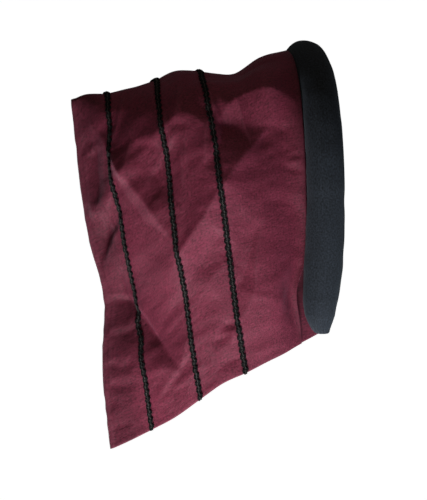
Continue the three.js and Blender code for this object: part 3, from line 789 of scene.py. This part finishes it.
def newGroup(name, inputs, outputs):
    group = bpy.data.node_groups.new(name, "ShaderNodeTree")
    kinds = {"vector": "NodeSocketVector", "value": "NodeSocketFloat", "color": "NodeSocketColor"}
    for key, kind in inputs.items():
        group.interface.new_socket(key, in_out="INPUT", socket_type=kinds[kind])
    for key, kind in outputs.items():
        group.interface.new_socket(key, in_out="OUTPUT", socket_type=kinds[kind])
    given = addNode(group, "NodeGroupInput").outputs
    return group, given, addNode(group, "NodeGroupOutput").inputs


def useGroup(tree, group, inputs):
    return addNode(tree, "ShaderNodeGroup", inputs, node_tree=group)


def scaledBy(tree, vector, factor):
    inputs = {0: vector, "Scale": factor}
    return addNode(tree, "ShaderNodeVectorMath", inputs, operation="SCALE").outputs[0]


def noiseAt(tree, place, detail):
    inputs = {"Vector": place, "Scale": 1.0, "Detail": detail}
    return addNode(tree, "ShaderNodeTexNoise", inputs).outputs["Fac"]


def stretchedNoise(tree, place, stretch, detail=2):
    scaled = addNode(tree, "ShaderNodeVectorMath", {0: place, 1: stretch}, operation="MULTIPLY")
    return noiseAt(tree, scaled.outputs[0], detail)


# Plain weave with thick and thin threads. Place is in millimetres over the flat cloth.
def makeWeave():
    group, given, result = newGroup(
        "plainWeave",
        {"Place": "vector", "Pitch": "value", "Weave": "value", "Slub": "value"},
        {"Shade": "value", "Height": "value"},
    )
    parts = addNode(group, "ShaderNodeSeparateXYZ", {0: given["Place"]})
    turns = compute(group, "DIVIDE", 2 * math.pi, given["Pitch"])
    warp = compute(group, "SINE", compute(group, "MULTIPLY", parts.outputs[0], turns))
    weft = compute(group, "SINE", compute(group, "MULTIPLY", parts.outputs[1], turns))
    crossed = compute(group, "MULTIPLY", warp, weft)
    weftSlub = stretchedNoise(group, given["Place"], (0.14, 1.3, 1))
    warpSlub = stretchedNoise(group, given["Place"], (1.1, 0.1, 1))
    grain = stretchedNoise(group, given["Place"], (0.5, 0.55, 1), 1)
    threads = compute(group, "MULTIPLY_ADD", warpSlub, 0.5, weftSlub)
    slub = compute(group, "SUBTRACT", compute(group, "MULTIPLY_ADD", grain, 1.6, threads), 1.55)
    woven = compute(group, "MULTIPLY_ADD", crossed, given["Weave"], 1.0)
    shade = compute(group, "MULTIPLY_ADD", slub, given["Slub"], woven)
    height = compute(group, "ADD", compute(group, "MULTIPLY_ADD", crossed, 0.35, 0.5), slub)
    group.links.new(shade, result["Shade"])
    group.links.new(height, result["Height"])
    return group


# Uneven dye: large soft patches and smaller cloudy ones.
def makeDye():
    group, given, result = newGroup(
        "unevenDye",
        {"Color": "color", "Place": "vector", "Patch": "value", "Amount": "value", "Shade": "value"},
        {"Color": "color", "Mask": "value"},
    )
    size = compute(group, "DIVIDE", 1.0, given["Patch"])
    noise = noiseAt(group, scaledBy(group, given["Place"], size), 4.0)
    mask = compute(group, "SUBTRACT", noise, 0.5)
    factor = compute(group, "MULTIPLY_ADD", mask, given["Amount"], given["Shade"])
    group.links.new(scaledBy(group, given["Color"], factor), result["Color"])
    group.links.new(mask, result["Mask"])
    return group


# A paler colour where the mask is strong, broken up by noise: rubbed wear on the hood's hem and seam,
# wear with a painted highlight on its ridges, lint on the roll and a painted highlight on the braid's
# core.
def makePaleMix():
    group, given, result = newGroup(
        "paleWhereMasked",
        {"Color": "color", "Paled Color": "color", "Mask": "value", "Place": "vector",
         "Amount": "value"},
        {"Color": "color", "Paled": "value"},
    )
    broken = stretchedNoise(group, given["Place"], (0.35, 0.35, 0.35), 4)
    patches = compute(group, "MULTIPLY_ADD", broken, 1.4, -0.1)
    level = compute(group, "MULTIPLY", given["Mask"], patches)
    amount = compute(group, "MULTIPLY", level, given["Amount"])
    paleTone = addNode(group, "ShaderNodeClamp", {0: amount})
    mix = addNode(group, "ShaderNodeMix",
                  {0: paleTone.outputs[0], 6: given["Color"], 7: given["Paled Color"]},
                  data_type="RGBA")
    group.links.new(mix.outputs[2], result["Color"])
    group.links.new(paleTone.outputs[0], result["Paled"])
    return group


# Short nap of wool: fine grain with a few pale specks of lint.
def makeNap():
    group, given, result = newGroup(
        "woolNap",
        {"Place": "vector", "Grain": "value", "Lint Size": "value"},
        {"Shade": "value", "Height": "value", "Lint": "value"},
    )
    grain = compute(group, "DIVIDE", 1.0, given["Grain"])
    fine = noiseAt(group, scaledBy(group, given["Place"], grain), 3.0)
    shade = compute(group, "MULTIPLY_ADD", fine, 3.6, -0.8)
    specks = addNode(group, "ShaderNodeTexVoronoi", {"Vector": given["Place"], "Scale": 0.045})
    lint = compute(group, "LESS_THAN", specks.outputs["Distance"], given["Lint Size"])
    group.links.new(shade, result["Shade"])
    group.links.new(fine, result["Height"])
    group.links.new(lint, result["Lint"])
    return group


weaveGroup = makeWeave()
dyeGroup = makeDye()
paleMixGroup = makePaleMix()
napGroup = makeNap()


def newMaterial(name):
    material = bpy.data.materials.new(name)
    material.use_nodes = True
    tree = material.node_tree
    tree.nodes.clear()
    shader = addNode(tree, "ShaderNodeBsdfPrincipled")
    addNode(tree, "ShaderNodeOutputMaterial", {0: shader.outputs[0]})
    place = addNode(tree, "ShaderNodeAttribute", attribute_name="clothPlace")
    return material, tree, shader, place.outputs["Vector"]


# The values that are the same all over a surface.
def setLook(shader, look):
    shader.inputs["Sheen Weight"].default_value = look["sheen"]
    shader.inputs["Sheen Roughness"].default_value = look["sheenRoughness"]
    shader.inputs["Sheen Tint"].default_value = look["sheenTint"]
    shader.inputs["Specular IOR Level"].default_value = look["specular"]


burgundy = {
    "color": (0.148, 0.0165, 0.038, 1),
    # paler colour of rubbed wear at the hem and seam, and of the painted highlight along the ridges
    "paleTone": (0.22, 0.049, 0.08, 1),
    "pitch": 0.55,  # millimetres from thread to thread
    "weave": 0.10,
    "slub": 1.0,
    "patch": 26,  # size of the cloudy patches of dye, in millimetres
    "uneven": 0.45,
    "paling": 0.55,
    "roughness": 0.62,
    "sheen": 0.13,
    "sheenRoughness": 0.45,
    "sheenTint": (0.88, 0.48, 0.66, 1),
    "specular": 0.25,
}


def makeBurgundy():
    material, tree, shader, place = newMaterial("burgundyCloth")
    weave = useGroup(tree, weaveGroup, {"Place": place, "Pitch": burgundy["pitch"],
                                        "Weave": burgundy["weave"], "Slub": burgundy["slub"]})
    # painted shade, stored on the points, darkens the weave's shade
    paintedShadeNode = addNode(tree, "ShaderNodeAttribute", attribute_name="clothPaintedShade")
    shade = compute(tree, "MULTIPLY", weave.outputs["Shade"], paintedShadeNode.outputs["Fac"])
    dye = useGroup(tree, dyeGroup, {"Color": burgundy["color"], "Place": place, "Shade": shade,
                                    "Patch": burgundy["patch"], "Amount": burgundy["uneven"]})
    wearAndHighlight = addNode(tree, "ShaderNodeAttribute", attribute_name="clothWearAndHighlight")
    paling = useGroup(tree, paleMixGroup, {"Color": dye.outputs["Color"], "Paled Color": burgundy["paleTone"],
                                    "Mask": wearAndHighlight.outputs["Fac"], "Place": place,
                                    "Amount": burgundy["paling"]})
    tree.links.new(paling.outputs["Color"], shader.inputs["Base Color"])
    rough = compute(tree, "MULTIPLY_ADD", dye.outputs["Mask"], 0.15, burgundy["roughness"])
    tree.links.new(rough, shader.inputs["Roughness"])
    setLook(shader, burgundy)
    creased = stretchedNoise(tree, place, (0.07, 0.11, 0.1), 3)
    wide = addNode(tree, "ShaderNodeBump", {"Height": creased, "Distance": 0.0014, "Strength": 0.45})
    fine = addNode(tree, "ShaderNodeBump", {"Height": weave.outputs["Height"], "Distance": 0.00018,
                                            "Strength": 0.6, "Normal": wide.outputs[0]})
    tree.links.new(fine.outputs[0], shader.inputs["Normal"])
    return material


wool = {
    "color": (0.0125, 0.0165, 0.0235, 1),
    "lint": (0.22, 0.22, 0.22, 1),
    "grain": 1.7,
    "lintSize": 0.018,
    "patch": 18,
    "uneven": 0.4,
    "roughness": 0.88,
    "sheen": 0.07,
    "sheenRoughness": 0.55,
    "sheenTint": (0.55, 0.68, 0.8, 1),
    "specular": 0.3,
}


def makeWool():
    material, tree, shader, place = newMaterial("rollCloth")
    nap = useGroup(tree, napGroup, {"Place": place, "Grain": wool["grain"],
                                    "Lint Size": wool["lintSize"]})
    dye = useGroup(tree, dyeGroup, {"Color": wool["color"], "Place": place, "Patch": wool["patch"],
                                    "Amount": wool["uneven"], "Shade": nap.outputs["Shade"]})
    paling = useGroup(tree, paleMixGroup, {"Color": dye.outputs["Color"], "Paled Color": wool["lint"],
                                    "Mask": nap.outputs["Lint"], "Place": place, "Amount": 1.0})
    tree.links.new(paling.outputs["Color"], shader.inputs["Base Color"])
    rough = compute(tree, "MULTIPLY_ADD", dye.outputs["Mask"], 0.1, wool["roughness"])
    tree.links.new(rough, shader.inputs["Roughness"])
    setLook(shader, wool)
    bump = addNode(tree, "ShaderNodeBump",
                   {"Height": nap.outputs["Height"], "Distance": 0.0003, "Strength": 0.5})
    tree.links.new(bump.outputs[0], shader.inputs["Normal"])
    return material


gimp = {
    "color": (0.0044, 0.0034, 0.0038, 1),
    # painted highlight: the core's paler colour stands in for the grey glints of the black braid
    "coreHighlight": (0.078, 0.074, 0.068, 1),
    "ply": 1.3,  # millimetres from ply to ply of the yarn
    "patch": 3,
    "uneven": 0.6,
    "roughness": 0.72,
    "sheen": 0.02,
    "sheenRoughness": 0.5,
    "sheenTint": (1, 1, 1, 1),
    "specular": 0.14,
}


def makeGimp():
    material, tree, shader, place = newMaterial("blackBraid")
    parts = addNode(tree, "ShaderNodeSeparateXYZ", {0: place})
    twist = compute(tree, "MULTIPLY_ADD", parts.outputs[0], 1 / gimp["ply"], parts.outputs[1])
    ply = compute(tree, "SINE", compute(tree, "MULTIPLY", twist, 2 * math.pi))
    tone = addNode(tree, "ShaderNodeAttribute", attribute_name="strandTone")
    # painted highlight: the core and the yarn are mixed towards the paler colour by their tone
    paling = useGroup(tree, paleMixGroup, {"Color": gimp["color"], "Paled Color": gimp["coreHighlight"],
                                    "Mask": tone.outputs["Fac"], "Place": place, "Amount": 1.2})
    shade = compute(tree, "MULTIPLY_ADD", ply, 0.3, 1.0)
    dye = useGroup(tree, dyeGroup, {"Color": paling.outputs["Color"], "Place": place, "Shade": shade,
                                    "Patch": gimp["patch"], "Amount": gimp["uneven"]})
    tree.links.new(dye.outputs["Color"], shader.inputs["Base Color"])
    rough = compute(tree, "MULTIPLY_ADD", dye.outputs["Mask"], 0.3, gimp["roughness"])
    tree.links.new(rough, shader.inputs["Roughness"])
    setLook(shader, gimp)
    bump = addNode(tree, "ShaderNodeBump", {"Height": ply, "Distance": 0.00025, "Strength": 0.7})
    tree.links.new(bump.outputs[0], shader.inputs["Normal"])
    return material


burgundyCloth = makeBurgundy()
rollCloth = makeWool()
blackBraid = makeGimp()


def finishPiece(piece, node, material):
    piece.data.materials.append(material)
    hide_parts(node)
    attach(piece, "root")


finishPiece(hoodPiece, "hood", burgundyCloth)
finishPiece(facingPiece, "facing", burgundyCloth)
finishPiece(rollPiece, "padded_roll", rollCloth)
for key, piece in braidPieces.items():
    finishPiece(piece, f"braid_{key}", blackBraid)
print("materials set")


# Floor, light and camera

studio = {
    "floorHeight": -1.45,
    "floorReach": 4,
    "glow": 0.95,
    "worldPower": 0.06,
    "keyPower": 22,
    "lowPower": 3,
    "farPower": 16,
    "topPower": 1.8,
    "target": (0, 0, -0.165),
    "distance": 1.8,
    "turn": 10,  # degrees towards the back of the hood
    "lens": 136.42,
}


def makeStage():
    reach = studio["floorReach"]
    level = studio["floorHeight"]
    # radius and height of the sweep from the floor up to the backdrop
    bend = [(reach * 0.55, 0), (reach * 0.8, 0.12), (reach * 0.93, 0.5), (reach, 1.3), (reach, 4)]
    sides = 48
    points = [(0, 0, level)]
    for radius, height in bend:
        for k in range(sides):
            angle = 2 * math.pi * k / sides
            points.append((radius * math.cos(angle), radius * math.sin(angle), level + height))
    faces = [[0, 1 + k, 1 + (k + 1) % sides] for k in range(sides)]
    for ring in range(len(bend) - 1):
        for k in range(sides):
            a = 1 + ring * sides + k
            b = 1 + ring * sides + (k + 1) % sides
            faces.append([a, a + sides, b + sides, b])
    mesh = bpy.data.meshes.new("studioFloor")
    mesh.from_pydata(points, [], faces)
    mesh.polygons.foreach_set("use_smooth", np.ones(len(faces), bool))
    floor = bpy.data.objects.new("studioFloor", mesh)
    bpy.context.scene.collection.objects.link(floor)
    material = bpy.data.materials.new("studioWhite")
    material.use_nodes = True
    tree = material.node_tree
    shader = tree.nodes["Principled BSDF"]
    shader.inputs["Base Color"].default_value = (0.5, 0.5, 0.5, 1)
    shader.inputs["Roughness"].default_value = 0.9
    shader.inputs["Emission Color"].default_value = (1, 1, 1, 1)
    # pale to the eye, but too dim to wash the folds out
    path = addNode(tree, "ShaderNodeLightPath")
    glow = compute(tree, "MULTIPLY", path.outputs["Is Camera Ray"], studio["glow"])
    tree.links.new(glow, shader.inputs["Emission Strength"])
    mesh.materials.append(material)


def addLight(name, position, power, size, color=(1, 1, 1)):
    light = bpy.data.lights.new(name, "AREA")
    light.energy = power
    light.size = size
    light.color = color
    lamp = bpy.data.objects.new(name, light)
    bpy.context.scene.collection.objects.link(lamp)
    lamp.location = position
    lamp.rotation_mode = "QUATERNION"
    lamp.rotation_quaternion = (Vector(studio["target"]) - Vector(position)).to_track_quat("-Z", "Y")


def makeCamera():
    data = bpy.data.cameras.new("camera")
    data.sensor_fit = "VERTICAL"
    data.sensor_width = 36
    data.sensor_height = 36
    data.lens = studio["lens"]
    camera = bpy.data.objects.new("camera", data)
    bpy.context.scene.collection.objects.link(camera)
    turn = math.radians(studio["turn"])
    target = Vector(studio["target"])
    camera.location = target + studio["distance"] * Vector((-math.cos(turn), math.sin(turn), 0))
    camera.rotation_mode = "QUATERNION"
    camera.rotation_quaternion = (target - camera.location).to_track_quat("-Z", "Y")
    bpy.context.scene.camera = camera


def makeWorld():
    world = bpy.data.worlds.new("studioWorld")
    world.use_nodes = True
    tree = world.node_tree
    background = tree.nodes["Background"]
    background.inputs["Color"].default_value = (1, 1, 1, 1)
    background.inputs["Strength"].default_value = studio["worldPower"]
    bpy.context.scene.world = world


makeStage()
makeWorld()
addLight("keyLight", (-0.62, 0.16, -1.25), studio["keyPower"], 0.4)
addLight("lowLight", (-0.45, -0.3, -0.85), studio["lowPower"], 0.6, (0.8, 0.9, 1))
addLight("farLight", (0.8, 0.5, -1.0), studio["farPower"], 0.8)
addLight("topLight", (-0.9, 0.1, 1.0), studio["topPower"], 1.2, (1, 0.8, 0.55))
makeCamera()
bpy.context.scene.view_settings.view_transform = "Standard"

print("stage ready")
